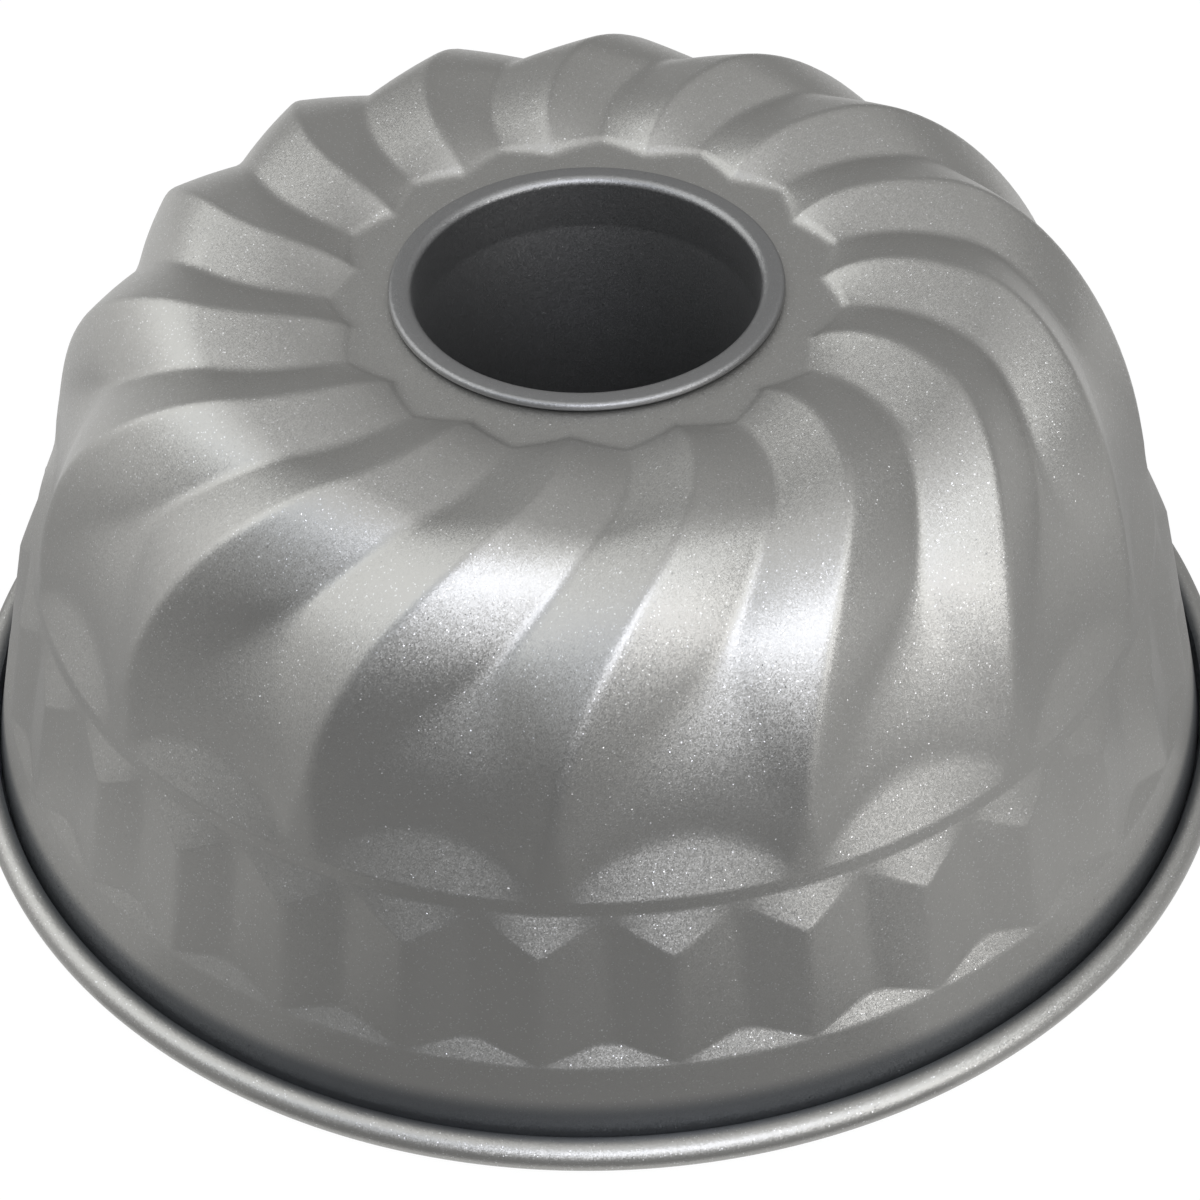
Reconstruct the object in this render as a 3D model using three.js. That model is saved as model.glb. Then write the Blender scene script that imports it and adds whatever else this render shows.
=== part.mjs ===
// Fluted ring cake pan of coated steel sheet, turned over so that it stands on its rolled rim.
// Millimetres, +Z up. The origin is the centre of the plane that the rim stands on.
// Azimuths start at the front (-Y) and grow towards +X.

import * as THREE from 'three';

// Sheet and clearance
const SHEET = 0.5; // thickness of the steel sheet
const FIT = 0.15; // clearance between the folds of the seam and round the rim wire

// Rolled rim
const RIM_DIAMETER = 250; // over the bead
const BEAD_DIAMETER = 5.8;
const CURL_SLOT = 2.2; // left open between the edge of the curl and the wall

// Side wall with its band of V flutes, heights measured upwards from the foot of the band
const WALL_DRAFT = 12.7; // degrees from upright
const BAND_FLUTES = 30;
const BAND_DEPTH = 2.2; // ridge to valley
const BAND_FOOT = 18.4; // height of the foot of the band over the rim plane
const BAND_RIDGE = 22.2; // upper tips of the V ridges
const BAND_VALLEY = 28; // upper ends of the V valleys
const RUN_OUT = 3.7; // height of the facets where the valleys run out on the wall
const CHAMFER_LEDGE = 1.4; // chamfer left above the valleys
const FACET_EDGE = 0.4; // least width of a facet where it tapers to a ridge

// Narrow upright step over the band, then the shoulder that the dome's flutes run out on
const STEP_HEIGHT = 2.4;
const ARCH_RISE = 9.5; // scalloped arches over the feet of the ridges
const ARCH_START = 0.09; // plain foot of a ridge, as a share of the way to the valley

// Dome with swirled flutes
const FLUTES = 15;
const CREST_DEPTH = 3.5; // ridge to valley, over the crest
const FLUTE_DEPTH = 5; // on the outer side
const ARCH_DEPTH = 3.4; // at the arches
const DEPTH_EASE = 0.4; // share of the outer side in which one depth eases to the next
const FLUTE_AZIMUTH = -5; // degrees, foot of the first ridge
const FLUTE_TURN = 24.5; // degrees that a ridge turns from its foot to its nose
const TURN_POWER = 1.5; // how softly the turn starts at the foot
const DOME_RISE = 53.4; // crest of the ridges over their feet
const DOME_SKIRT = 14; // depth below the feet at which the dome's ellipse would be widest
const NOSE_RUN = 26.8; // from the edge of the floor to the crest, along a ridge
const NOSE_SCALLOP = 3.4; // how much further the floor reaches out at the valleys
const NOSE_POWER = 3.4; // how quickly the noses rise from the floor
const VALLEY_RISE = 2.1; // valleys over the floor where they cross the crest

// Flat floor round the tube, and the folded seam
const FLOOR_WIDTH = 7.1; // from the seam to the noses
const SEAM_LAP = 1.95; // straight part of the folds

// Tube
const TUBE_BORE = 63.4; // at the neck
const NECK_LENGTH = 9.5; // straight neck below the seam
const TUBE_END_BORE = 48; // at the free end, over the lip
const TUBE_END_HEIGHT = 5; // free end over the rim plane
const LIP_RADIUS = 2.6; // round of the lip at the free end
const LIP_TURN = 70; // degrees that the lip turns in

// Facets
const ROUND_COLUMNS = 2 * BAND_FLUTES; // one at each ridge and valley of the band
const FLUTE_COLUMNS = 6; // in each flute of the dome
const NOSE_RINGS = 4;
const DOME_RINGS = 8;
const CURL_FLATS = 12; // in a full turn; a multiple of 4 lays one of them on the rim plane
const FOLD_STEPS = 4;
const ROLL_STEPS = 3;
const LIP_STEPS = 3;
const WIRE_SIDES = 8;

// Finishes
const COATING = { color: 0x8d8b87, roughness: 0.42, metalness: 0.85 };
const TUBE_COATING = { color: 0x6f6e6c, roughness: 0.45, metalness: 0.85 };
const BARE_STEEL = { color: 0xa3a5a8, roughness: 0.35, metalness: 1 };

const radians = THREE.MathUtils.degToRad;
const lerp = THREE.MathUtils.lerp;
const draft = Math.tan(radians(WALL_DRAFT));

// Bead and wall: the wall's middle line runs tangent into the curl.
const curlRadius = (BEAD_DIAMETER - SHEET) / 2;
const bead = new THREE.Vector2((RIM_DIAMETER - BEAD_DIAMETER) / 2, BEAD_DIAMETER / 2);
const curlStart = Math.PI + radians(WALL_DRAFT);
const curlEnd = Math.PI * 3 - CURL_SLOT / curlRadius;
const wallEnd = onCircle(bead, curlRadius, curlStart);
const skinShift = SHEET / 2 / Math.cos(radians(WALL_DRAFT));

// Seam: the layers of the two folds lie one pitch apart round a shared centre.
const seamPitch = SHEET + FIT;
const foldRadius = (TUBE_BORE + SHEET) / 2 + 2 * seamPitch;
const hookRadius = foldRadius + SEAM_LAP;
const seamRadius = hookRadius + seamPitch + SHEET / 2;

// Heights and radii of the dome, from the band inwards and from the seam outwards.
const valleyTop = BAND_FOOT + BAND_VALLEY;
const stepFoot = valleyTop + CHAMFER_LEDGE;
const stepTop = stepFoot + STEP_HEIGHT;
const stepFootRadius = wallRadius(valleyTop) - BAND_DEPTH - FACET_EDGE;
const stepTopRadius = stepFootRadius - STEP_HEIGHT * draft;
const ridgeFootRadius = stepTopRadius - FACET_EDGE;
const ridgeFoot = stepTop + FACET_EDGE;
const crest = ridgeFoot + DOME_RISE;
const floor = crest - CREST_DEPTH - VALLEY_RISE;
const noseRadius = seamRadius + FLOOR_WIDTH;
const crestRadius = noseRadius + NOSE_RUN;
const belly = ridgeFoot - DOME_SKIRT;
const domeHeight = crest - belly;
const domeWidth = (ridgeFootRadius - crestRadius) / Math.sqrt(1 - (DOME_SKIRT / domeHeight) ** 2);
const seam = floor - SHEET / 2 + seamPitch;

// Radius of the wall's outer skin along the V ridges.
function wallRadius(height) {
  return wallEnd.x + skinShift - (height - wallEnd.y) * draft;
}

function onCircle(centre, radius, angle) {
  return new THREE.Vector2(centre.x + radius * Math.cos(angle), centre.y + radius * Math.sin(angle));
}

function arc(centre, radius, from, to, steps) {
  return Array.from({ length: steps + 1 }, (_, i) => onCircle(centre, radius, lerp(from, to, i / steps)));
}

function pointAt(radius, azimuth, height) {
  return new THREE.Vector3(radius * Math.sin(azimuth), -radius * Math.cos(azimuth), height);
}

// One skin of a bent sheet: the middle line shifted sideways, to its left where the shift is positive.
function shifted(line, shift) {
  return line.map((point, i) => {
    const before = line[Math.max(i - 1, 0)];
    const after = line[Math.min(i + 1, line.length - 1)];
    const into = point.clone().sub(before);
    const away = after.clone().sub(point);
    const first = (into.length() > 0 ? into : away).normalize();
    const second = (away.length() > 0 ? away : into).normalize();
    const side = new THREE.Vector2(-first.y - second.y, first.x + second.x).normalize();
    const miter = shift / (-first.y * side.x + first.x * side.y);
    return point.clone().addScaledVector(side, miter);
  });
}

function closedProfile(line) {
  const outline = [...shifted(line, -SHEET / 2), ...shifted(line, SHEET / 2).reverse()];
  return [...outline, outline[0].clone()];
}

// Distance from the ridge across a flute: 0 on the ridge, 1 in the valley.
function acrossFlute(column, columns) {
  return 1 - Math.abs(1 - (2 * (column % columns)) / columns);
}

// Rounded form of that, which starts beside the plain foot of the ridge.
function scoop(across) {
  const started = Math.max(across - ARCH_START, 0) / (1 - ARCH_START);
  return started * (2 - started);
}

// Turn of the flutes, from nothing at the feet of the ridges to the full turn at their noses.
function turnAt(ridgeRadius) {
  const left = (ridgeRadius - noseRadius) / (ridgeFootRadius - noseRadius);
  return radians(FLUTE_TURN) * Math.max(1 - left ** 2, 0) ** TURN_POWER;
}

// Inner side of a flute, from its nose on the floor (0) up to the crest (1).
function nosePoint(across, along) {
  const outwards = along ** 2;
  const ridge = lerp(noseRadius, crestRadius, outwards);
  const radius = lerp(noseRadius + NOSE_SCALLOP * across, crestRadius, outwards);
  const rise = crest - CREST_DEPTH * across - floor;
  const height = floor + rise * (1 - (1 - outwards) ** NOSE_POWER);
  return { radius, height, turn: turnAt(ridge) };
}

// Outer side of a flute, from the crest (0) down to its arch on the shoulder (1).
// The valley is a plain V at the crest and opens to a round scoop at the arch.
function domePoint(across, along) {
  const { smoothstep } = THREE.MathUtils;
  const grown = lerp(CREST_DEPTH, FLUTE_DEPTH, smoothstep(along, 0, DEPTH_EASE));
  const most = lerp(grown, ARCH_DEPTH, smoothstep(along, 1 - DEPTH_EASE, 1));
  const depth = most * lerp(across, scoop(across), along ** 2);
  const arch = ridgeFoot + ARCH_RISE * scoop(across) - belly;
  const angle = along * Math.acos(arch / (domeHeight - ARCH_DEPTH * scoop(across)));
  const ridge = crestRadius + domeWidth * Math.sin(angle);
  const radius = crestRadius + (domeWidth - depth) * Math.sin(angle);
  return { radius, height: belly + (domeHeight - depth) * Math.cos(angle), turn: turnAt(ridge) };
}

function fluteRing(section, along) {
  const columns = FLUTES * FLUTE_COLUMNS;
  return Array.from({ length: columns }, (_, column) => {
    const { radius, height, turn } = section(acrossFlute(column, FLUTE_COLUMNS), along);
    return pointAt(radius, radians(FLUTE_AZIMUTH) + turn + (2 * Math.PI * column) / columns, height);
  });
}

// Ring of the band: even columns lie in the valleys and odd ones on the ridges.
function bandRing(section) {
  return Array.from({ length: ROUND_COLUMNS }, (_, column) => {
    const { radius, height } = section(acrossFlute(column + 1, 2));
    return pointAt(radius, (2 * Math.PI * column) / ROUND_COLUMNS, height);
  });
}

const roundRing = (point) => bandRing(() => ({ radius: point.x, height: point.y }));

function chamferEdge(valley) {
  const height = BAND_FOOT + lerp(BAND_RIDGE, BAND_VALLEY, valley);
  return { radius: wallRadius(height) - BAND_DEPTH * valley, height };
}

function runOutEdge(valley) {
  const height = BAND_FOOT + FACET_EDGE + RUN_OUT * valley;
  return { radius: wallRadius(height) - BAND_DEPTH * valley, height };
}

// Triangles between two neighbouring rings, which may have different numbers of points.
function stitch(inner, outer, points) {
  const azimuth = (index) => Math.atan2(points[index].x, -points[index].y);
  const ahead = (angle) => THREE.MathUtils.euclideanModulo(angle, 2 * Math.PI);
  const start = azimuth(inner[0]);
  const distance = outer.map((index) => Math.cos(azimuth(index) - start));
  const shift = distance.indexOf(Math.max(...distance));
  const partner = outer.map((_, i) => outer[(i + shift) % outer.length]);
  const lead = ahead(azimuth(partner[0]) - start + Math.PI) - Math.PI;
  const innerAngle = (i) => (i < inner.length ? ahead(azimuth(inner[i]) - start) : 2 * Math.PI);
  const outerTurn = (j) => (j < partner.length ? ahead(azimuth(partner[j]) - start - lead) : 2 * Math.PI);
  const outerAngle = (j) => lead + outerTurn(j);
  const triangles = [];
  let i = 0;
  let j = 0;
  while (i < inner.length || j < partner.length) {
    const a = inner[i % inner.length];
    const b = partner[j % partner.length];
    const innerNext = j === partner.length || (i < inner.length && innerAngle(i + 1) <= outerAngle(j + 1));
    if (innerNext) {
      i += 1;
      triangles.push(a, b, inner[i % inner.length]);
    } else {
      j += 1;
      triangles.push(a, b, partner[j % partner.length]);
    }
  }
  return triangles;
}

function stitchAll(rings, closed) {
  const points = [];
  const indices = rings.map((ring) => ring.map((point) => points.push(point) - 1));
  const last = closed ? indices.length : indices.length - 1;
  const triangles = [];
  for (let i = 0; i < last; i += 1) {
    triangles.push(...stitch(indices[i], indices[(i + 1) % indices.length], points));
  }
  const geometry = new THREE.BufferGeometry().setFromPoints(points);
  geometry.setIndex(triangles);
  geometry.computeVertexNormals();
  return geometry;
}

// The same rings moved in by the thickness of the sheet, along the skin's own normals.
function innerSkin(rings) {
  const normals = stitchAll(rings, false).getAttribute('normal');
  let index = 0;
  return rings.map((ring) => ring.map((point) => {
    const normal = new THREE.Vector3().fromBufferAttribute(normals, index);
    index += 1;
    return point.clone().addScaledVector(normal, -SHEET);
  }));
}

function steelMesh(name, geometry, finish) {
  const mesh = new THREE.Mesh(geometry, new THREE.MeshStandardMaterial(finish));
  mesh.name = name;
  return mesh;
}

function turned(outline) {
  return new THREE.LatheGeometry(outline, ROUND_COLUMNS).rotateX(Math.PI / 2);
}

// Hooked edge of the floor: out along the hook, round the fold and back out under it to the floor.
function floorHook() {
  const centre = new THREE.Vector2(foldRadius, seam);
  const tip = new THREE.Vector2(hookRadius, seam + seamPitch);
  const floorEdge = new THREE.Vector2(seamRadius, seam - seamPitch);
  return [tip, ...arc(centre, seamPitch, Math.PI / 2, (3 * Math.PI) / 2, FOLD_STEPS), floorEdge];
}

// Curl bent in flats that are tangent to the round bead, led in by the wall from the foot of the band.
function rimCurl() {
  const flat = (2 * Math.PI) / CURL_FLATS;
  const facings = [curlStart];
  for (let facing = Math.PI + flat; facing - flat / 2 < curlEnd; facing += flat) {
    facings.push(facing);
  }
  const corners = facings.map((facing, i) => {
    const corner = i + 1 < facings.length ? (facing + facings[i + 1]) / 2 : curlEnd;
    return onCircle(bead, curlRadius / Math.cos(corner - facing), corner);
  });
  return [new THREE.Vector2(wallRadius(BAND_FOOT) - skinShift, BAND_FOOT), ...corners];
}

// Drawn shell: floor, fluted dome, band and wall, with the hook at one edge and the curl at the other.
function flutedShell() {
  const hook = floorHook();
  const curl = rimCurl();
  const noses = Array.from({ length: NOSE_RINGS }, (_, i) => fluteRing(nosePoint, i / NOSE_RINGS));
  const dome = Array.from({ length: DOME_RINGS + 1 }, (_, i) => fluteRing(domePoint, i / DOME_RINGS));
  const band = [
    roundRing(new THREE.Vector2(stepTopRadius, stepTop)),
    roundRing(new THREE.Vector2(stepFootRadius, stepFoot)),
    bandRing(chamferEdge),
    bandRing(runOutEdge),
    roundRing(new THREE.Vector2(wallRadius(BAND_FOOT), BAND_FOOT)),
  ];
  const hookOutside = shifted(hook, SHEET / 2).map(roundRing);
  const hookInside = shifted(hook, -SHEET / 2).map(roundRing);
  const curlOutside = shifted(curl, SHEET / 2).slice(1).map(roundRing);
  const curlInside = shifted(curl, -SHEET / 2).slice(1).map(roundRing);
  const skin = [hookOutside.at(-1), ...noses, ...dome, ...band, curlOutside[0]];
  const lining = innerSkin(skin).slice(1, -1);
  const outside = [...hookOutside, ...noses, ...dome, ...band, ...curlOutside];
  const inside = [...hookInside, ...lining, ...curlInside];
  return stitchAll([...outside, ...inside.reverse()], true);
}

// Tube: its flange rolls over the hook of the floor and folds back in below it.
function centerTube() {
  const centre = new THREE.Vector2(foldRadius, seam);
  const hem = new THREE.Vector2(hookRadius, seam + seamPitch);
  const neck = (TUBE_BORE + SHEET) / 2;
  const end = (TUBE_END_BORE + SHEET) / 2;
  const lipCentre = new THREE.Vector2(end - LIP_RADIUS, TUBE_END_HEIGHT + SHEET / 2 + LIP_RADIUS);
  const taper = Math.atan2(neck - end, seam - NECK_LENGTH - lipCentre.y);
  const line = [
    centre,
    ...arc(hem, seamPitch, -Math.PI / 2, Math.PI / 2, FOLD_STEPS),
    ...arc(centre, 2 * seamPitch, Math.PI / 2, Math.PI, ROLL_STEPS),
    new THREE.Vector2(neck, seam - NECK_LENGTH),
    ...arc(lipCentre, LIP_RADIUS, -taper, -taper - radians(LIP_TURN), LIP_STEPS),
  ];
  return turned(closedProfile(line));
}

// Stiffening wire that the sheet is rolled round.
function rimWire() {
  const radius = BEAD_DIAMETER / 2 - SHEET - FIT;
  return turned(arc(bead, radius, 0, 2 * Math.PI, WIRE_SIDES));
}

const pan = new THREE.Group();
pan.add(steelMesh('fluted_shell', flutedShell(), COATING));
pan.add(steelMesh('center_tube', centerTube(), TUBE_COATING));
pan.add(steelMesh('rim_wire', rimWire(), BARE_STEEL));

export default pan;
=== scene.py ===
import math
from collections import namedtuple

import bpy
from mathutils import Matrix, Vector


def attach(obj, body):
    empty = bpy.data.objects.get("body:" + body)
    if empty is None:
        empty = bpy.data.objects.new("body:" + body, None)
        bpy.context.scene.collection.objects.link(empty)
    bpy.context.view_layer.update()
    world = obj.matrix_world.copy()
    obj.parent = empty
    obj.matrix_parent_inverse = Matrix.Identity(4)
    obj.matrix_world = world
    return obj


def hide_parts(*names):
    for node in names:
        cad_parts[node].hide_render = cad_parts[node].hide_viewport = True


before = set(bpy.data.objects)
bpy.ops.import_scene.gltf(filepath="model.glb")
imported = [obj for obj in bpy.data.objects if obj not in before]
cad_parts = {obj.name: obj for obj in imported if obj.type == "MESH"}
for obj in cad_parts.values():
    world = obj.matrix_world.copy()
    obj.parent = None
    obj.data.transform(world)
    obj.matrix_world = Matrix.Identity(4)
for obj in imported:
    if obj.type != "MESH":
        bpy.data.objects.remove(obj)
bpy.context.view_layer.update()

# A millimetre in metres, and the gap that is welded shut
MM = 0.001
WELD = 0.001 * MM

# Sizes of the pan, the same as those of the solids, with lengths in millimetres
SHEET = 0.5
FIT = 0.15
RIM_DIAMETER = 250.0
BEAD_DIAMETER = 5.8
CURL_SLOT = 2.2
WALL_DRAFT = math.radians(12.7)
BAND_FLUTES = 30
BAND_DEPTH = 2.2
BAND_FOOT = 18.4
BAND_RIDGE = 22.2
BAND_VALLEY = 28.0
RUN_OUT = 3.7
CHAMFER_LEDGE = 1.4
FACET_EDGE = 0.4
STEP_HEIGHT = 2.4
ARCH_RISE = 9.5
ARCH_START = 0.09
FLUTES = 15
CREST_DEPTH = 3.5
FLUTE_DEPTH = 5.0
ARCH_DEPTH = 3.4
DEPTH_EASE = 0.4
FLUTE_AZIMUTH = math.radians(-5)
FLUTE_TURN = math.radians(24.5)
TURN_POWER = 1.5
DOME_RISE = 53.4
DOME_SKIRT = 14.0
NOSE_RUN = 26.8
NOSE_SCALLOP = 3.4
NOSE_POWER = 3.4
VALLEY_RISE = 2.1
FLOOR_WIDTH = 7.1
SEAM_LAP = 1.95
TUBE_BORE = 63.4
NECK_LENGTH = 9.5
TUBE_END_BORE = 48.0
TUBE_END_HEIGHT = 5.0
LIP_RADIUS = 2.6
LIP_TURN = math.radians(70)

# Finer forms, in millimetres: the fillet at the feet of the noses, the rise of their short steep
# start, the depth of the V flutes at their run-outs, and the bend where the tube's neck turns into
# its taper, as half its length and its way inwards at its middle and its end.
FOOT_FILLET = 1.6
FOOT_START = 0.5
RUN_OUT_DEPTH = 1.6
NECK_BEND = 0.8
NECK_EASE = (0.05, 0.2)

# Shares of the nose's run at which it has a row, the first at the end of its steep start, and of
# the dome's side where the valley begins to open into its arch and where the plain strip beside the
# ridge begins.
FOOT_END = 0.045
NOSE_SHARES = (FOOT_END, 0.07, 0.11, 0.17, 0.24, 0.32, 0.42, 0.53, 0.65, 0.77, 0.89)
SCOOP_START = 0.45
PLAIN_START = 0.85

# Fillet between the arches and the shoulder, as shares of the dome's side and of the shoulder
ARCH_FILLET = (0.04, 0.2)

# Round of the wave across a flute, as shares of its half width: at the ridge and in the valley
FOOT_ROUND = (0.05, 0.06)
CREST_ROUND = (0.06, 0.07)
ARCH_ROUND = (0.05, 0.93)
BAND_ROUND = (0.04, 0.05)
BAND_EDGE_ROUND = (0.04, 0.32)

# Fineness of the surfaces, and the fold between two faces past which their edge is drawn sharp
COLUMNS = 540
TUBE_SEGMENTS = 270
DOME_ROWS = 28
CURL_ROWS = 18
HOOK_ROWS = 8
HEM_ROWS = 10
FLANGE_ROWS = 9
LIP_ROWS = 8
CREASE = math.radians(60)

# Places that follow from the sizes
draft = math.tan(WALL_DRAFT)
curl_radius = (BEAD_DIAMETER - SHEET) / 2
bead = ((RIM_DIAMETER - BEAD_DIAMETER) / 2, BEAD_DIAMETER / 2)
curl_start = math.pi + WALL_DRAFT
curl_end = 3 * math.pi - CURL_SLOT / curl_radius
wall_end = (
    bead[0] + curl_radius * math.cos(curl_start),
    bead[1] + curl_radius * math.sin(curl_start),
)
seam_pitch = SHEET + FIT
fold_radius = (TUBE_BORE + SHEET) / 2 + 2 * seam_pitch
hook_radius = fold_radius + SEAM_LAP
seam_radius = hook_radius + seam_pitch + SHEET / 2


def wall_radius(height):
    """Radius of the wall's outer skin along the V ridges."""
    return wall_end[0] + SHEET / 2 / math.cos(WALL_DRAFT) - (height - wall_end[1]) * draft


valley_top = BAND_FOOT + BAND_VALLEY
step_foot = valley_top + CHAMFER_LEDGE
step_top = step_foot + STEP_HEIGHT
step_foot_radius = wall_radius(valley_top) - BAND_DEPTH - FACET_EDGE
step_top_radius = step_foot_radius - STEP_HEIGHT * draft
ridge_foot_radius = step_top_radius - FACET_EDGE
ridge_foot = step_top + FACET_EDGE
crest = ridge_foot + DOME_RISE
floor = crest - CREST_DEPTH - VALLEY_RISE
nose_radius = seam_radius + FLOOR_WIDTH
crest_radius = nose_radius + NOSE_RUN
belly = ridge_foot - DOME_SKIRT
dome_height = crest - belly
dome_width = (ridge_foot_radius - crest_radius) / math.sqrt(1 - (DOME_SKIRT / dome_height) ** 2)
seam = floor - SHEET / 2 + seam_pitch


def lerp(a, b, t):
    return a + (b - a) * t


def smoothstep(low, high, value):
    t = min(max((value - low) / (high - low), 0), 1)
    return t * t * (3 - 2 * t)


def between(a, b, t):
    return (lerp(a[0], b[0], t), lerp(a[1], b[1], t))


def bend(start, corner, end, t):
    """A point on the parabola that rounds off a corner."""
    return between(between(start, corner, t), between(corner, end, t), t)


def arc(centre, radius, start, end, steps):
    angles = [lerp(start, end, i / steps) for i in range(steps + 1)]
    return [(centre[0] + radius * math.cos(a), centre[1] + radius * math.sin(a)) for a in angles]


def turn_at(radius):
    """Turn of the flutes at a radius of the ridge, from nothing at its foot to the full turn."""
    left = (radius - nose_radius) / (ridge_foot_radius - nose_radius)
    return FLUTE_TURN * max(1 - left**2, 0) ** TURN_POWER


# A corner of less than twice 10 degrees is a step of an arc. A mitre reaches at most 1 / 0.7 of the
# shift.
ROUND_LEAN = math.cos(math.radians(10))
MITER_LEAN = 0.7


def offset(line, shift):
    """A line of points shifted to its right. Corners are mitred, but not the steps of an arc."""
    sides = []
    for a, b in zip(line, line[1:]):
        sides.append(Vector((b[1] - a[1], a[0] - b[0])).normalized())
    moved = []
    for (x, y), before, after in zip(line, sides[:1] + sides, sides + sides[-1:]):
        side = (before + after).normalized()
        lean = side.dot(before)
        reach = shift if lean > ROUND_LEAN else shift / max(lean, MITER_LEAN)
        moved.append((x + side.x * reach, y + side.y * reach))
    return moved


# The columns of the dome start on the ridge nearest to its azimuth, and the rest is added as turn.
COLUMN = 2 * math.pi / COLUMNS
dome_phase = round(FLUTE_AZIMUTH / COLUMN) * COLUMN
dome_shift = FLUTE_AZIMUTH - dome_phase

# A row of the sheet's outer skin: its point on a ridge and in a valley, the rounds there, the turn
# at both, whether it lies on the band, the plain share beside the ridge, and whether the lining
# keeps it.
Row = namedtuple("Row", "ridge valley rounds turns band plain lined")
FULL_TURN = (FLUTE_TURN + dome_shift,) * 2
NO_TURN = (0.0, 0.0)


def sheet_rows():
    """The sheet from its hooked edge at the tube to the edge of its curl, row by row."""
    rows = []

    def put(
        ridge, valley=None, rounds=FOOT_ROUND, turns=FULL_TURN, band=0.0, plain=0.0, lined=True
    ):
        rows.append(Row(ridge, valley or ridge, rounds, turns, band, plain, lined))

    # Hook of the seam and flat floor
    skin_radius = seam_pitch - SHEET / 2
    put((hook_radius, seam + skin_radius))
    for point in arc((fold_radius, seam), skin_radius, math.pi / 2, 3 * math.pi / 2, HOOK_ROWS):
        put(point)
    half_way = (seam_radius + nose_radius) / 2
    floor_end = nose_radius - 1.5 * FOOT_FILLET
    for radius in (hook_radius, seam_radius + FACET_EDGE, half_way, floor_end):
        put((radius, floor))

    # Noses, which rise from straight-edged feet with a small fillet and a short steep start
    def nose(outwards, foot):
        rise = 1 - (1 - outwards) ** NOSE_POWER
        start = FOOT_START * min(outwards / FOOT_END, 1)
        return tuple(
            (lerp(radius, crest_radius, outwards), lerp(floor + start, crest - depth, rise))
            for radius, depth in zip(foot, (0, CREST_DEPTH))
        )

    foot = (nose_radius, nose_radius + NOSE_SCALLOP)
    ends = nose(FOOT_END, foot)
    for t in (0, 0.25, 0.5, 0.75):
        bends = []
        for radius, end in zip(foot, ends):
            start, corner = (radius - FOOT_FILLET, floor), (radius, floor)
            bends.append(bend(start, corner, end, t))
        put(*bends, lined=t == 0)
    for i, outwards in enumerate(NOSE_SHARES):
        ridge, valley = nose(outwards, foot)
        rounds = [lerp(a, b, outwards) for a, b in zip(FOOT_ROUND, CREST_ROUND)]
        turns = (turn_at(ridge[0]) + dome_shift,) * 2
        put(ridge, valley, rounds, turns, lined=i % 2 == 0)

    # Outer side of the dome, down to the scalloped arches
    ridge_end = math.acos(DOME_SKIRT / dome_height)
    valley_end = math.acos((DOME_SKIRT + ARCH_RISE) / (dome_height - ARCH_DEPTH))

    def on_dome(angle, inset=0):
        return (
            crest_radius + (dome_width - inset) * math.sin(angle),
            belly + (dome_height - inset) * math.cos(angle),
        )

    def side(t):
        a, b = ridge_end * t, valley_end * t
        depth = lerp(CREST_DEPTH, FLUTE_DEPTH, smoothstep(0, DEPTH_EASE, t))
        depth = lerp(depth, ARCH_DEPTH, smoothstep(1 - DEPTH_EASE, 1, t))
        turns = [turn_at(on_dome(angle)[0]) + dome_shift for angle in (a, b)]
        return on_dome(a), on_dome(b, depth), turns

    fillet_start = 1 - ARCH_FILLET[0]
    for i in range(DOME_ROWS):
        t = fillet_start * i / DOME_ROWS
        ridge, valley, turns = side(t)
        scoop = smoothstep(SCOOP_START, fillet_start, t)
        rounds = [lerp(a, b, share) for a, b, share in zip(CREST_ROUND, ARCH_ROUND, (t, scoop))]
        plain = ARCH_START * smoothstep(PLAIN_START, fillet_start, t)
        put(ridge, valley, rounds, turns, plain=plain, lined=i % 2 == 0)

    # Fillet at the arches, shoulder and step. A ridge runs straight on to the edge of the step, and
    # the first half of that run lies beside the fillet.
    top = (step_top_radius, step_top)
    foot = (step_foot_radius, step_foot)
    before, arch = side(fillet_start), side(1)
    fillet_end = between(arch[1], top, ARCH_FILLET[1])
    for t in (0, 0.2, 0.4, 0.6, 0.8, 1):
        ridge = between(before[0], top, 0.5 * t)
        valley = bend(before[1], arch[1], fillet_end, t)
        turns = [lerp(a, b * (1 - ARCH_FILLET[1]), t) for a, b in zip(before[2], arch[2])]
        put(ridge, valley, ARCH_ROUND, turns, plain=ARCH_START, lined=t in (0, 0.4, 1))
    for t in (0.3, 0.65, 0.94):
        ridge, valley = between(before[0], top, lerp(0.5, 1, t)), between(fillet_end, top, t)
        turns = [turn * (1 - lerp(ARCH_FILLET[1], 1, t)) for turn in arch[2]]
        put(ridge, valley, ARCH_ROUND, turns, plain=ARCH_START, lined=t == 0.94)
    for t in (0, 0.15, 0.5, 0.85, 1):
        put(between(top, foot, t), turns=NO_TURN, lined=t in (0, 1))

    # Band of V flutes with its chamfer above and its run-outs below
    def edge(ridge_height, valley_height, depth):
        return (
            (wall_radius(ridge_height), ridge_height),
            (wall_radius(valley_height) - depth, valley_height),
        )

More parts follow.
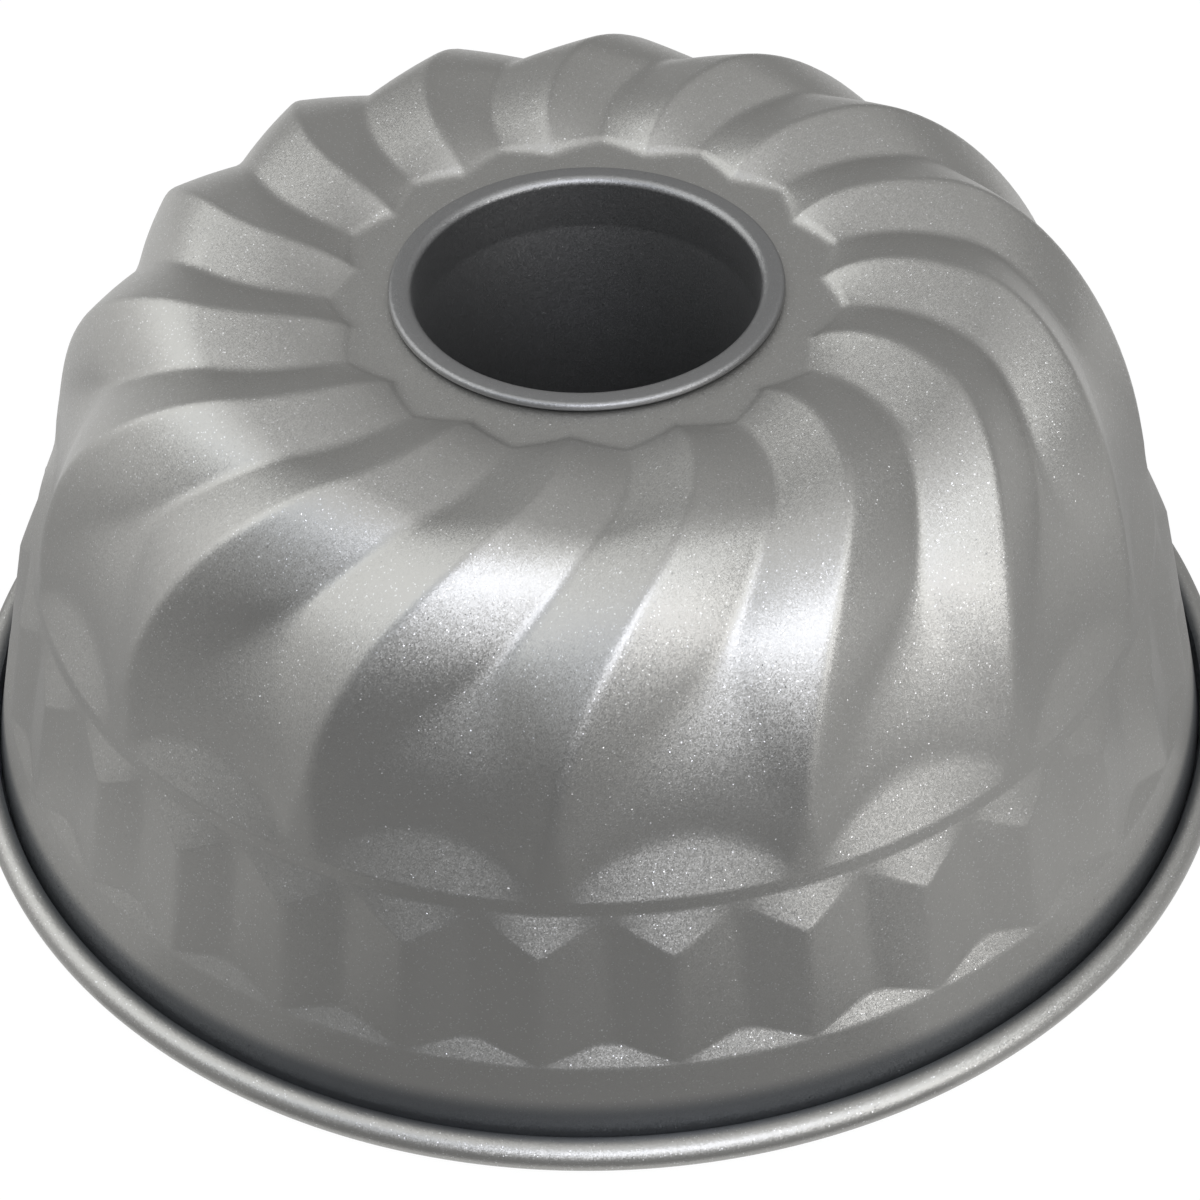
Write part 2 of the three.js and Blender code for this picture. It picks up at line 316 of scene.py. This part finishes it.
    chamfer = edge(BAND_FOOT + BAND_RIDGE, valley_top, BAND_DEPTH)
    run_out = edge(BAND_FOOT + FACET_EDGE, BAND_FOOT + FACET_EDGE + RUN_OUT, RUN_OUT_DEPTH)
    base = (wall_radius(BAND_FOOT), BAND_FOOT)
    stretches = (
        ((foot, foot), chamfer, (0.07, 0.5, 0.93, 1)),
        (chamfer, run_out, (0.025, 0.08, 0.3, 0.5, 0.7, 0.92, 0.975, 1)),
        (run_out, (base, base), (0.15, 0.5, 0.85, 1)),
    )
    for upper, lower, shares in stretches:
        for t in shares:
            ends = [between(a, b, t) for a, b in zip(upper, lower)]
            edge_share = (2 * t - 1) ** 4 if upper is chamfer else 1
            rounds = [lerp(a, b, edge_share) for a, b in zip(BAND_ROUND, BAND_EDGE_ROUND)]
            put(*ends, rounds=rounds, turns=NO_TURN, band=1.0, lined=t in (0.5, 0.93, 1))

    # Plain wall and curl
    skin = (wall_radius(wall_end[1]), wall_end[1])
    for t in (0.04, 0.35, 0.7):
        put(between(base, skin, t), turns=NO_TURN, band=1.0, lined=t == 0.35)
    for point in arc(bead, curl_radius - SHEET / 2, curl_start, curl_end, CURL_ROWS):
        put(point, turns=NO_TURN, band=1.0)
    return rows


def put_in_scene(name, data):
    piece = bpy.data.objects.new(name, data)
    bpy.context.scene.collection.objects.link(piece)
    return piece


def section(name, points, values):
    """A bare line of points in the XZ plane that carries one number per point and name."""
    mesh = bpy.data.meshes.new(name)
    mesh.from_pydata([(x * MM, 0, z * MM) for x, z in points], [], [])
    for key, numbers in values.items():
        mesh.attributes.new(key, "FLOAT", "POINT").data.foreach_set("value", numbers)
    return put_in_scene(name, mesh)


def shell_sections():
    """The closed loop of the sheet, outer skin and lining, on a ridge and in a valley."""
    rows = sheet_rows()
    sides = []
    for outer in ([row.ridge for row in rows], [row.valley for row in rows]):
        inner = offset(outer, SHEET)
        sides.append(outer + [point for point, row in zip(inner, rows) if row.lined][::-1])
    loop = rows + [row for row in rows if row.lined][::-1]
    ridge = section(
        "ridge_section",
        sides[0],
        {
            "turn": [row.turns[0] for row in loop],
            "ridge_round": [row.rounds[0] for row in loop],
            "valley_round": [row.rounds[1] for row in loop],
            "band": [row.band for row in loop],
            "plain": [row.plain for row in loop],
        },
    )
    valley = section("valley_section", sides[1], {"turn": [row.turns[1] for row in loop]})
    return ridge, valley, len(loop)


def add(tree, kind, links=None, **settings):
    """One node with its settings. Its sockets, by name or number, take sockets, nodes or values."""
    node = tree.nodes.new(kind)
    for key, value in settings.items():
        setattr(node, key, value)
    for key, value in (links or {}).items():
        if isinstance(value, bpy.types.Node):
            value = value.outputs[0]
        if isinstance(value, bpy.types.NodeSocket):
            tree.links.new(value, node.inputs[key])
        else:
            node.inputs[key].default_value = value
    return node


def fluted_sheet_tree():
    """Lofts a ridge section and a valley section round the axis. Across each flute the sheet runs
    from the one to the other on a wave, which is round for a share of its half width at the ridge
    and in the valley."""
    tree = bpy.data.node_groups.new("fluted_sheet", "GeometryNodeTree")
    sockets = (
        ("Ridge Section", "NodeSocketObject"),
        ("Valley Section", "NodeSocketObject"),
        ("Rows", "NodeSocketInt"),
        ("Columns", "NodeSocketInt"),
        ("Dome Flutes", "NodeSocketInt"),
        ("Dome Azimuth", "NodeSocketFloat"),
        ("Band Flutes", "NodeSocketInt"),
        ("Band Azimuth", "NodeSocketFloat"),
        ("Crease Angle", "NodeSocketFloat"),
        ("Finish", "NodeSocketMaterial"),
    )
    for name, kind in sockets:
        tree.interface.new_socket(name, in_out="INPUT", socket_type=kind)
    tree.interface.new_socket("Geometry", in_out="OUTPUT", socket_type="NodeSocketGeometry")
    sizes = add(tree, "NodeGroupInput").outputs

    # A flat grid with a line of points for each row of the sections and each column round the axis
    rows = add(tree, "ShaderNodeMath", {0: sizes["Rows"], 1: 1}, operation="ADD")
    columns = add(tree, "ShaderNodeMath", {0: sizes["Columns"], 1: 1}, operation="ADD")
    grid = add(
        tree,
        "GeometryNodeMeshGrid",
        {"Size X": 1, "Size Y": 1, "Vertices X": rows, "Vertices Y": columns},
    )
    place = add(tree, "ShaderNodeSeparateXYZ", {0: add(tree, "GeometryNodeInputPosition")})
    along = add(tree, "ShaderNodeMath", {0: place.outputs["X"], 1: 0.5}, operation="ADD")
    number = add(tree, "ShaderNodeMath", {0: along, 1: sizes["Rows"]}, operation="MULTIPLY")
    whole = add(tree, "ShaderNodeMath", {0: number}, operation="ROUND")
    row = add(tree, "ShaderNodeMath", {0: whole, 1: sizes["Rows"]}, operation="MODULO")
    around = add(tree, "ShaderNodeMath", {0: place.outputs["Y"], 1: 0.5}, operation="ADD")
    azimuth = add(tree, "ShaderNodeMath", {0: around, 1: 2 * math.pi}, operation="MULTIPLY")

    # What the sections say of that row
    ridge_line, valley_line = [
        add(tree, "GeometryNodeObjectInfo", {"Object": sizes[name]}).outputs["Geometry"]
        for name in ("Ridge Section", "Valley Section")
    ]
    read = {}
    for name, line, attribute in (
        ("ridge", ridge_line, None),
        ("valley", valley_line, None),
        ("ridge turn", ridge_line, "turn"),
        ("valley turn", valley_line, "turn"),
        ("ridge round", ridge_line, "ridge_round"),
        ("valley round", ridge_line, "valley_round"),
        ("band", ridge_line, "band"),
        ("plain", ridge_line, "plain"),
    ):
        if attribute:
            wanted = {"Name": attribute}
            value = add(tree, "GeometryNodeInputNamedAttribute", wanted, data_type="FLOAT")
        else:
            value = add(tree, "GeometryNodeInputPosition")
        read[name] = add(
            tree,
            "GeometryNodeSampleIndex",
            {"Geometry": line, "Value": value, "Index": row},
            data_type="FLOAT" if attribute else "FLOAT_VECTOR",
        )

    # Place across the flute: 0 on the ridge, 1 in the valley
    picked = {}
    for name in ("Flutes", "Azimuth"):
        dome, band = sizes[f"Dome {name}"], sizes[f"Band {name}"]
        more = add(tree, "ShaderNodeMath", {0: band, 1: dome}, operation="SUBTRACT")
        mix = {0: more, 1: read["band"], 2: dome}
        picked[name] = add(tree, "ShaderNodeMath", mix, operation="MULTIPLY_ADD")
    first, flutes = picked["Azimuth"], picked["Flutes"]
    from_ridge = add(tree, "ShaderNodeMath", {0: azimuth, 1: first}, operation="SUBTRACT")
    passed = add(tree, "ShaderNodeMath", {0: from_ridge, 1: flutes}, operation="MULTIPLY")
    across = add(tree, "ShaderNodeMath", {0: passed, 1: math.pi}, operation="PINGPONG")
    across = add(tree, "ShaderNodeMath", {0: across, 1: math.pi}, operation="DIVIDE")
    past_plain = add(tree, "ShaderNodeMath", {0: across, 1: read["plain"]}, operation="SUBTRACT")
    past_plain = add(tree, "ShaderNodeMath", {0: past_plain, 1: 0}, operation="MAXIMUM")
    left = add(tree, "ShaderNodeMath", {0: 1, 1: read["plain"]}, operation="SUBTRACT")
    across = add(tree, "ShaderNodeMath", {0: past_plain, 1: left}, operation="DIVIDE")

    # The wave: a parabola at the ridge, a straight flank and a parabola in the valley
    ridge_round, valley_round = read["ridge round"], read["valley round"]
    near = add(tree, "ShaderNodeMath", {0: across, 1: ridge_round}, operation="MINIMUM")
    square = add(tree, "ShaderNodeMath", {0: near, 1: near}, operation="MULTIPLY")
    bowed = add(tree, "ShaderNodeMath", {0: square, 1: ridge_round}, operation="DIVIDE")
    start = add(tree, "ShaderNodeMath", {0: bowed, 1: 0.5}, operation="MULTIPLY")
    flank_end = add(tree, "ShaderNodeMath", {0: 1, 1: valley_round}, operation="SUBTRACT")
    flank = add(tree, "ShaderNodeMath", {0: across, 1: flank_end}, operation="MINIMUM")
    flank = add(tree, "ShaderNodeMath", {0: flank, 1: near}, operation="SUBTRACT")
    flank = add(tree, "ShaderNodeMath", {0: flank, 1: 0}, operation="MAXIMUM")
    past = add(tree, "ShaderNodeMath", {0: across, 1: flank_end}, operation="SUBTRACT")
    past = add(tree, "ShaderNodeMath", {0: past, 1: 0}, operation="MAXIMUM")
    past_square = add(tree, "ShaderNodeMath", {0: past, 1: past}, operation="MULTIPLY")
    past_bow = add(tree, "ShaderNodeMath", {0: past_square, 1: valley_round}, operation="DIVIDE")
    end = add(tree, "ShaderNodeMath", {0: past_bow, 1: -0.5, 2: past}, operation="MULTIPLY_ADD")
    wave = add(tree, "ShaderNodeMath", {0: start, 1: flank}, operation="ADD")
    wave = add(tree, "ShaderNodeMath", {0: wave, 1: end}, operation="ADD")
    rounds = add(tree, "ShaderNodeMath", {0: ridge_round, 1: valley_round}, operation="ADD")
    reach = add(tree, "ShaderNodeMath", {0: rounds, 1: -0.5, 2: 1}, operation="MULTIPLY_ADD")
    wave = add(tree, "ShaderNodeMath", {0: wave, 1: reach}, operation="DIVIDE")

    # Turned into place
    ridge, valley = read["ridge"], read["valley"]
    depth = add(tree, "ShaderNodeVectorMath", {0: valley, 1: ridge}, operation="SUBTRACT")
    lofted = {0: depth, 1: wave, 2: ridge}
    point = add(tree, "ShaderNodeVectorMath", lofted, operation="MULTIPLY_ADD")
    point = add(tree, "ShaderNodeSeparateXYZ", {0: point})
    ridge_turn, valley_turn = read["ridge turn"], read["valley turn"]
    more = add(tree, "ShaderNodeMath", {0: valley_turn, 1: ridge_turn}, operation="SUBTRACT")
    turn = add(tree, "ShaderNodeMath", {0: more, 1: wave, 2: ridge_turn}, operation="MULTIPLY_ADD")
    angle = add(tree, "ShaderNodeMath", {0: azimuth, 1: turn}, operation="ADD")
    sine = add(tree, "ShaderNodeMath", {0: angle}, operation="SINE")
    cosine = add(tree, "ShaderNodeMath", {0: angle}, operation="COSINE")
    x = add(tree, "ShaderNodeMath", {0: point.outputs["X"], 1: sine}, operation="MULTIPLY")
    y = add(tree, "ShaderNodeMath", {0: point.outputs["X"], 1: cosine}, operation="MULTIPLY")
    y = add(tree, "ShaderNodeMath", {0: y, 1: -1}, operation="MULTIPLY")
    spot = add(tree, "ShaderNodeCombineXYZ", {0: x, 1: y, 2: point.outputs["Z"]})
    sheet = add(tree, "GeometryNodeSetPosition", {"Geometry": grid, "Position": spot})
    sheet = add(tree, "GeometryNodeMergeByDistance", {"Geometry": sheet, "Distance": WELD})
    sheet = add(tree, "GeometryNodeSetShadeSmooth", {"Geometry": sheet}, domain="FACE")
    fold = add(tree, "GeometryNodeInputMeshEdgeAngle")
    sharp = add(
        tree,
        "FunctionNodeCompare",
        {"A": fold.outputs["Unsigned Angle"], "B": sizes["Crease Angle"]},
        data_type="FLOAT",
        operation="GREATER_THAN",
    )
    sheet = add(
        tree,
        "GeometryNodeSetShadeSmooth",
        {"Geometry": sheet, "Selection": sharp, "Shade Smooth": False},
        domain="EDGE",
    )
    sheet = add(tree, "GeometryNodeRealizeInstances", {"Geometry": sheet})
    sheet = add(tree, "GeometryNodeSetMaterial", {"Geometry": sheet, "Material": sizes["Finish"]})
    add(tree, "NodeGroupOutput", {"Geometry": sheet})
    return tree


def from_tree(name, tree, values):
    """A plain mesh object with what the tree makes of these inputs."""
    maker = put_in_scene(name + "_maker", bpy.data.meshes.new(name + "_maker"))
    modifier = maker.modifiers.new("maker", "NODES")
    modifier.node_group = tree
    for item in tree.interface.items_tree:
        if item.in_out == "INPUT":
            modifier[item.identifier] = values[item.name]
    made = maker.evaluated_get(bpy.context.evaluated_depsgraph_get())
    mesh = bpy.data.meshes.new_from_object(made)
    mesh.name = name
    maker.modifiers.remove(modifier)
    bpy.data.objects.remove(maker)
    return put_in_scene(name, mesh)


def fluted_shell(finish):
    ridge, valley, rows = shell_sections()
    values = {
        "Ridge Section": ridge,
        "Valley Section": valley,
        "Rows": rows,
        "Columns": COLUMNS,
        "Dome Flutes": FLUTES,
        "Dome Azimuth": dome_phase,
        "Band Flutes": BAND_FLUTES,
        "Band Azimuth": math.pi / BAND_FLUTES,
        "Crease Angle": CREASE,
        "Finish": finish,
    }
    piece = from_tree("fluted_steel_shell", fluted_sheet_tree(), values)
    for line in (ridge, valley):
        bpy.data.objects.remove(line)
    return piece


def center_tube(finish):
    """The tube, turned from the middle line of its sheet, with a flange round the shell's hook."""
    centre = (fold_radius, seam)
    hem = (hook_radius, seam + seam_pitch)
    neck = (TUBE_BORE + SHEET) / 2
    neck_end = seam - NECK_LENGTH
    end = (TUBE_END_BORE + SHEET) / 2
    lip = (end - LIP_RADIUS, TUBE_END_HEIGHT + SHEET / 2 + LIP_RADIUS)
    taper = math.atan2(neck - end, neck_end - lip[1])
    line = [
        centre,
        *arc(hem, seam_pitch, -math.pi / 2, math.pi / 2, HEM_ROWS),
        *arc(centre, 2 * seam_pitch, math.pi / 2, math.pi, FLANGE_ROWS),
        (neck, neck_end + NECK_BEND),
        (neck - NECK_EASE[0], neck_end),
        (neck - NECK_EASE[1], neck_end - NECK_BEND),
        *arc(lip, LIP_RADIUS, -taper, -taper - LIP_TURN, LIP_ROWS),
    ]
    outline = offset(line, SHEET / 2) + offset(line, -SHEET / 2)[::-1]
    count = len(outline)
    points = []
    for i in range(TUBE_SEGMENTS):
        a = 2 * math.pi * i / TUBE_SEGMENTS
        points += [(r * MM * math.sin(a), -r * MM * math.cos(a), z * MM) for r, z in outline]
    faces = []
    for i in range(TUBE_SEGMENTS):
        here, there = i * count, (i + 1) % TUBE_SEGMENTS * count
        for j in range(count):
            k = (j + 1) % count
            faces.append((here + j, there + j, there + k, here + k))
    mesh = bpy.data.meshes.new("seamed_center_tube")
    mesh.from_pydata(points, [], faces)
    mesh.shade_smooth()
    mesh.set_sharp_from_angle(angle=CREASE)
    mesh.materials.append(finish)
    return put_in_scene("seamed_center_tube", mesh)


def linear(hex_colour):
    """sRGB hex to linear RGBA."""
    parts = [int(hex_colour[i : i + 2], 16) / 255 for i in (1, 3, 5)]
    return (*[c / 12.92 if c <= 0.04045 else ((c + 0.055) / 1.055) ** 2.4 for c in parts], 1.0)


def new_material(name):
    """A material without nodes, and its tree."""
    material = bpy.data.materials.new(name)
    material.use_nodes = True
    material.node_tree.nodes.clear()
    return material, material.node_tree


# Flakes of the coating: their size in millimetres, the share that stands out of the layer, the lean
# of those that lie in it and of those that stand, and the roughness of the standing ones. Real
# flakes are finer, and are drawn as coarse as they need to be to show.
FLAKE = 0.2
STANDING_SHARE = 0.025
FLAKE_LEAN = (0.16, 0.45)
STANDING_ROUGHNESS = 0.3

# Painted shade in the crevice behind the bead: where it begins and where it is darkest, in
# millimetres: heights on the wall, and distances out from it over the bead. Its dark colour
# follows.
SHADE_HEIGHTS = (12.3, 8.2)
SHADE_REACH = (3.8, 0.8)
PAINTED_SHADE_COLOUR = "#6c6e70"

# Grain of the drawn wire, in millimetres, and its least and greatest roughness
WIRE_GRAIN = 0.4
WIRE_ROUGHNESS = (0.28, 0.45)


def painted_crevice_shade(tree, place):
    """Share of painted shade in the crevice behind the bead: 1 on the foot of the wall behind it,
    fading up the wall and over the top of the bead."""
    height = add(tree, "ShaderNodeSeparateXYZ", {0: place}).outputs["Z"]
    level = add(tree, "ShaderNodeVectorMath", {0: place, 1: (1, 1, 0)}, operation="MULTIPLY")
    radius = add(tree, "ShaderNodeVectorMath", {0: level}, operation="LENGTH").outputs["Value"]
    slope = {0: height, 1: draft, 2: radius}
    upright = add(tree, "ShaderNodeMath", slope, operation="MULTIPLY_ADD")
    out = add(tree, "ShaderNodeMath", {0: upright, 1: wall_radius(0) * MM}, operation="SUBTRACT")
    shade_fade = add(tree, "ShaderNodeMath", {0: out, 1: -SHEET / 2 * MM}, operation="GREATER_THAN")
    for value, (start, full) in ((height, SHADE_HEIGHTS), (out, SHADE_REACH)):
        fade = {0: value, 1: start * MM, 2: full * MM}
        fade = add(tree, "ShaderNodeMapRange", fade, interpolation_type="SMOOTHSTEP")
        shade_fade = add(tree, "ShaderNodeMath", {0: shade_fade, 1: fade}, operation="MULTIPLY")
    return shade_fade


def flake_coating(name, tint, sparkle, roughness):
    """Sprayed silver non-stick coating on steel: a satin sheen, and aluminium flakes that lie at
    slightly different tilts. A few bright ones stand out of the layer, and break up a small light
    into fine points. In the crevice behind the bead a dark colour is painted in as shade."""
    material, tree = new_material(name)
    place = add(tree, "ShaderNodeTexCoord").outputs["Object"]
    spread = {"Vector": place, "Scale": 1 / (FLAKE * MM)}
    flakes = add(tree, "ShaderNodeTexVoronoi", spread, feature="F1").outputs
    chance = add(tree, "ShaderNodeTexWhiteNoise", {"Vector": flakes["Position"]}).outputs["Value"]
    draw = {0: chance, 1: 1 - STANDING_SHARE}
    standing = add(tree, "ShaderNodeMath", draw, operation="GREATER_THAN")
    lean = add(tree, "ShaderNodeMapRange", {0: standing, 3: FLAKE_LEAN[0], 4: FLAKE_LEAN[1]})
    half = (0.5, 0.5, 0.5)
    tilt = add(tree, "ShaderNodeVectorMath", {0: flakes["Color"], 1: half}, operation="SUBTRACT")
    tilt = add(tree, "ShaderNodeVectorMath", {0: tilt, "Scale": lean}, operation="SCALE")
    plain = add(tree, "ShaderNodeNewGeometry").outputs["Normal"]
    leaning = add(tree, "ShaderNodeVectorMath", {0: plain, 1: tilt}, operation="ADD")
    normal = add(tree, "ShaderNodeVectorMath", {0: leaning}, operation="NORMALIZE")
    layer = {0: standing, 6: linear(tint), 7: linear(sparkle)}
    tone = add(tree, "ShaderNodeMix", layer, data_type="RGBA").outputs[2]
    # Painted shade: a dark colour is mixed into the coating at the foot of the wall behind the bead
    shaded_layer = {0: painted_crevice_shade(tree, place), 6: tone, 7: linear(PAINTED_SHADE_COLOUR)}
    tone = add(tree, "ShaderNodeMix", shaded_layer, data_type="RGBA").outputs[2]
    gloss = add(tree, "ShaderNodeMapRange", {0: standing, 3: roughness, 4: STANDING_ROUGHNESS})
    shader = add(
        tree,
        "ShaderNodeBsdfPrincipled",
        {"Base Color": tone, "Metallic": 0.95, "Roughness": gloss, "Normal": normal},
    )
    add(tree, "ShaderNodeOutputMaterial", {"Surface": shader})
    return material


def drawn_wire():
    """Drawn mild steel wire: bright, with a fine uneven gloss that the die leaves."""
    material, tree = new_material("drawn_steel_wire")
    place = add(tree, "ShaderNodeTexCoord").outputs["Object"]
    spread = {"Vector": place, "Scale": 1 / (WIRE_GRAIN * MM), "Detail": 3.0}
    grain = add(tree, "ShaderNodeTexNoise", spread)
    rough = add(tree, "ShaderNodeMapRange", {0: grain, 3: WIRE_ROUGHNESS[0], 4: WIRE_ROUGHNESS[1]})
    shader = add(
        tree,
        "ShaderNodeBsdfPrincipled",
        {"Base Color": linear("#a3a5a8"), "Metallic": 1.0, "Roughness": rough},
    )
    add(tree, "ShaderNodeOutputMaterial", {"Surface": shader})
    return material


def stage_sheet(name, points, faces, material):
    """A flat piece of the studio round the pan."""
    mesh = bpy.data.meshes.new(name)
    mesh.from_pydata(points, [], faces)
    mesh.materials.append(material)
    piece = put_in_scene(name, mesh)
    return piece


def white_floor():
    """Plain white floor: white to the camera and in reflections, and it keeps a soft shadow."""
    material, tree = new_material("white_paper_floor")
    path = add(tree, "ShaderNodeLightPath").outputs
    seen = path["Is Camera Ray"]
    for ray in ("Is Glossy Ray", "Is Transmission Ray"):
        seen = add(tree, "ShaderNodeMath", {0: seen, 1: path[ray]}, operation="ADD", use_clamp=True)
    paper = add(tree, "ShaderNodeBsdfDiffuse", {"Color": linear("#d8d8d8")})
    faint = add(tree, "ShaderNodeBsdfDiffuse", {"Color": linear("#404040")})
    glow = add(tree, "ShaderNodeEmission", {"Color": (1, 1, 1, 1), "Strength": 0.95})
    white = add(tree, "ShaderNodeAddShader", {0: glow, 1: faint})
    both = add(tree, "ShaderNodeMixShader", {0: seen, 1: paper, 2: white})
    add(tree, "ShaderNodeOutputMaterial", {"Surface": both})
    half, low = 30.0, -0.0001
    corners = [(x * half, y * half, low) for x, y in ((-1, -1), (1, -1), (1, 1), (-1, 1))]
    stage_sheet("studio_floor", corners, [(0, 1, 2, 3)], material)


def camera():
    """At the photograph's viewing angle, on the pan's front, fitted to the pan's level circles."""
    distance, height = 471.2, 451.3
    pitch, yaw, roll = math.radians(42.354), math.radians(0.101), math.radians(-1.626)
    level = Vector((math.sin(yaw), math.cos(yaw), 0))
    ahead = level * math.cos(pitch) - Vector((0, 0, math.sin(pitch)))
    right = Vector((math.cos(yaw), -math.sin(yaw), 0))
    up = right.cross(ahead)
    right, up = (
        math.cos(roll) * right + math.sin(roll) * up,
        -math.sin(roll) * right + math.cos(roll) * up,
    )
    data = bpy.data.cameras.new("photo_camera")
    data.lens = 96.742
    data.sensor_width = 36.0
    data.clip_start = 0.01
    view = put_in_scene("photo_camera", data)
    turn = Matrix((right, up, -ahead)).transposed().to_4x4()
    view.matrix_world = Matrix.Translation(Vector((0, -distance, height)) * MM) @ turn
    bpy.context.scene.camera = view


def direction(azimuth, elevation):
    """Unit vector at an azimuth from the front, towards the right, and an elevation, in degrees."""
    a, e = math.radians(azimuth), math.radians(elevation)
    return Vector((math.sin(a) * math.cos(e), -math.cos(a) * math.cos(e), math.sin(e)))


# Point in the pan that the softboxes face, in metres
MIDDLE = Vector((0, 0, 0.06))

# Softboxes: azimuth and elevation in degrees, distance and size in metres, radiance, and tint
SOFTBOXES = {
    "left_softbox": (-104, 44, 1.2, (1.5, 0.85), 1.6, "#fdffff"),
    "left_low_softbox": (-106, 15, 1.2, (1.1, 0.5), 0.9, "#ffffff"),
    "right_softbox": (48, 20, 1.2, (0.5, 0.5), 4.0, "#ffffff"),
    "right_high_softbox": (60, 48, 1.2, (0.9, 0.5), 2.2, "#fdffff"),
    "right_back_softbox": (130, 52, 1.2, (0.9, 0.6), 0.35, "#ffffff"),
    "top_softbox": (-15, 84, 1.2, (1.1, 0.8), 0.9, "#ffffff"),
    "front_softbox": (8, 42, 1.0, (0.52, 0.54), 5.25, "#f1f4ff"),
    "front_low_softbox": (4, 20, 1.0, (0.7, 0.22), 1.2, "#ffffff"),
    "front_fill": (-42, 46, 1.2, (1.1, 0.55), 0.75, "#e2eeff"),
}
ROOM_LIGHT = 0.445

# Cards on the floor: inner and outer radius in metres, first and last azimuth in degrees, and shade
FLOOR_CARDS = {
    # The dark card under the pan is painted shade: it stands for the shaded floor beneath the pan
    "under_card": (0.001, 0.117, 0, 360, "#202020"),
    "near_card": (0.127, 0.4, -32, 30, "#9a9a9a"),
    "right_card": (0.18, 0.4, 30, 120, "#bcbcbc"),
    "right_front_card": (0.127, 0.18, 30, 50, "#cccccc"),
    "right_side_card": (0.127, 0.18, 50, 78, "#e4e4e4"),
    "right_back_card": (0.127, 0.18, 78, 120, "#bcbcbc"),
    "left_card": (0.18, 0.4, -120, -32, "#c0c0c0"),
    "left_front_card": (0.127, 0.18, -50, -32, "#b4b4b4"),
    "left_side_card": (0.127, 0.18, -76, -50, "#d6d6d6"),
    "left_back_card": (0.127, 0.18, -120, -76, "#b8b8b8"),
    "front_card": (0.4, 1.5, -75, 30, "#141414"),
}
CARD_HEIGHT = 0.0008
CARD_STEPS = 64


def softbox(name, azimuth, elevation, distance, size, radiance, tint):
    """A soft lamp that faces the pan, with the power that its size and radiance ask for."""
    data = bpy.data.lights.new(name, "AREA")
    data.shape = "RECTANGLE"
    data.size, data.size_y = size
    data.energy = radiance * math.pi * size[0] * size[1]
    data.color = linear(tint)[:3]
    lamp = put_in_scene(name, data)
    towards = direction(azimuth, elevation)
    aim = (-towards).to_track_quat("-Z", "Y").to_matrix().to_4x4()
    lamp.matrix_world = Matrix.Translation(MIDDLE + towards * distance) @ aim


def card(name, points, faces, shade):
    """A matt card out of the camera's sight. The metal shows it instead of the white floor and the
    bright room, so its sides keep their shading."""
    material, tree = new_material(name)
    tone = add(tree, "ShaderNodeEmission", {"Color": linear(shade), "Strength": 1.0})
    add(tree, "ShaderNodeOutputMaterial", {"Surface": tone})
    piece = stage_sheet(name, points, faces, material)
    piece.visible_camera = piece.visible_shadow = piece.visible_diffuse = False


def floor_card(name, inner, outer, start, end, shade):
    """A sector of a ring on the floor round the pan."""
    level = Vector((0, 0, CARD_HEIGHT))
    points = []
    for i in range(CARD_STEPS + 1):
        side = direction(lerp(start, end, i / CARD_STEPS), 0)
        points += [side * inner + level, side * outer + level]
    card(name, points, [(2 * i, 2 * i + 1, 2 * i + 3, 2 * i + 2) for i in range(CARD_STEPS)], shade)


def wall_card(name, distance, start, end, height, shade):
    """A part of the wall behind the camera."""
    corners = [(x, -distance, z) for x, z in ((start, 0), (end, 0), (end, height), (start, height))]
    card(name, corners, [(0, 1, 2, 3)], shade)


def studio():
    white_floor()
    world = bpy.data.worlds.new("studio")
    world.use_nodes = True
    light = world.node_tree.nodes["Background"].inputs
    light["Color"].default_value = (1, 1, 1, 1)
    light["Strength"].default_value = ROOM_LIGHT
    bpy.context.scene.world = world
    for name, values in SOFTBOXES.items():
        softbox(name, *values)
    for name, values in FLOOR_CARDS.items():
        floor_card(name, *values)
    wall_card("front_wall", 1.1, -1.4, 0.3, 0.25, "#303030")


bpy.context.scene.view_settings.view_transform = "Standard"
camera()
studio()

# Tint of the layer, tone of the flakes that stand out of it, and roughness
coating = flake_coating("metal_flake_nonstick_coating", "#a09f9c", "#bababa", 0.42)
tube_coating = flake_coating("metal_flake_tube_coating", "#888888", "#909090", 0.42)

shell = fluted_shell(coating)
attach(shell, "root")
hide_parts("fluted_shell")

tube = center_tube(tube_coating)
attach(tube, "root")
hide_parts("center_tube")

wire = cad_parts["rim_wire"]
wire.data.materials.clear()
wire.data.materials.append(drawn_wire())
